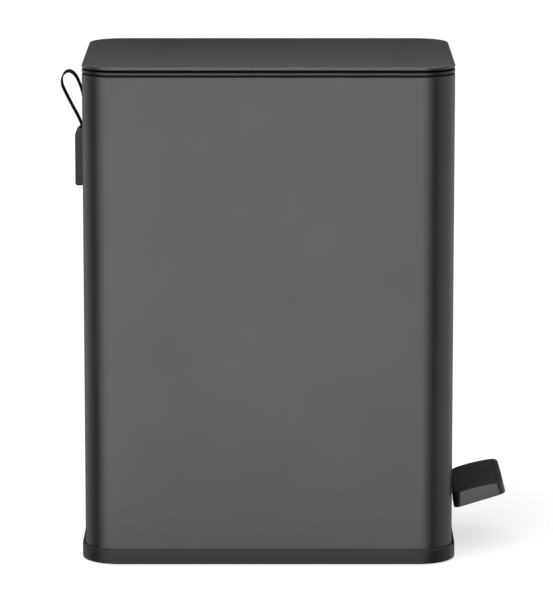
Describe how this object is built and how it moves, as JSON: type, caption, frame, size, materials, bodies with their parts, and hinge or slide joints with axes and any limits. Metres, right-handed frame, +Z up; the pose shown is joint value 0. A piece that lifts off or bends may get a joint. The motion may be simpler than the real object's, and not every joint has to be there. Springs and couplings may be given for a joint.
{
  "type": "pedal trash can",
  "caption": "Rectangular steel waste bin with a hinged lid worked by a foot pedal and a push rod, a lift-out inner bucket and a carry strap.",
  "frame": {"origin": "bottom centre of the whole object's box, on the floor", "axes": "+Z up; +X towards the pedal, -X towards the hinge and the strap; Y across"},
  "size_m": [0.4878, 0.2664, 0.5434],
  "materials": {
    "painted_steel": "satin dark grey coating on sheet steel",
    "black_plastic": "satin black moulding",
    "grey_plastic": "matte grey moulding",
    "rubber": "matte black",
    "zinc_steel": "zinc plated",
    "webbing": "woven black strap"
  },
  "bodies": {
    "can": {"body_shell": "painted_steel", "base_tray": "black_plastic", "foot_front_left": "rubber", "foot_front_right": "rubber", "foot_rear_left": "rubber", "foot_rear_right": "rubber", "rim_collar": "black_plastic", "lid_bumper_left": "rubber", "lid_bumper_right": "rubber", "inner_bucket": "grey_plastic", "hinge_leaf": "zinc_steel", "hinge_pin": "zinc_steel", "hinge_rivet_1": "painted_steel", "hinge_rivet_2": "painted_steel", "hinge_rivet_3": "painted_steel", "hinge_rivet_4": "painted_steel", "damper_rivet_1": "painted_steel", "damper_rivet_2": "painted_steel", "guide_rivet_1": "painted_steel", "guide_rivet_2": "painted_steel", "carry_strap": "webbing", "strap_anchor": "black_plastic", "anchor_plate": "zinc_steel", "anchor_screw_lower": "zinc_steel", "anchor_screw_upper": "zinc_steel", "pedal_bracket": "zinc_steel", "pedal_axle": "zinc_steel", "axle_clip_left": "zinc_steel", "axle_clip_right": "zinc_steel", "mechanism_cover": "grey_plastic", "bracket_screw_left": "zinc_steel", "bracket_screw_right": "zinc_steel", "cover_screw_left": "zinc_steel", "cover_screw_right": "zinc_steel", "rod_guide_1": "grey_plastic", "rod_guide_2": "grey_plastic", "damper_cylinder": "black_plastic", "damper_bracket": "grey_plastic"},
    "lid": {"lid_shell": "painted_steel", "lid_liner": "black_plastic", "lid_bracket": "zinc_steel", "lid_screw_1": "zinc_steel", "lid_screw_2": "zinc_steel"},
    "pedal": {"pedal_lever": "zinc_steel", "pedal_pad": "painted_steel", "pedal_tread": "rubber", "pad_screw_1": "zinc_steel", "pad_screw_2": "zinc_steel", "pedal_bush_left": "grey_plastic", "pedal_bush_right": "grey_plastic"},
    "rod": {"push_rod": "zinc_steel", "rod_collar": "grey_plastic", "rod_foot_clip": "zinc_steel", "rod_head_clip": "zinc_steel", "damper_piston": "zinc_steel", "damper_yoke": "grey_plastic"}
  },
  "joints": [
    {"name": "lid_hinge", "type": "hinge", "parent": "can", "child": "lid", "pos_m": [-0.21538, 0, 0.535], "axis": [0, -1, 0], "range_deg": [0, 76]},
    {"name": "pedal_pivot", "type": "hinge", "parent": "can", "child": "pedal", "pos_m": [-0.03678, 0, 0.026], "axis": [0, 1, 0], "range_deg": [0, 10]},
    {"name": "rod_slide", "type": "slide", "parent": "can", "child": "rod", "axis": [0, 0, 1], "range_m": [0, 0.02811]}
  ],
  "couplings": [
    {"joint": "pedal_pivot", "follows": "lid_hinge", "ratio": 0.13157},
    {"joint": "rod_slide", "follows": "lid_hinge", "m_per_rad": 0.02118}
  ]
}
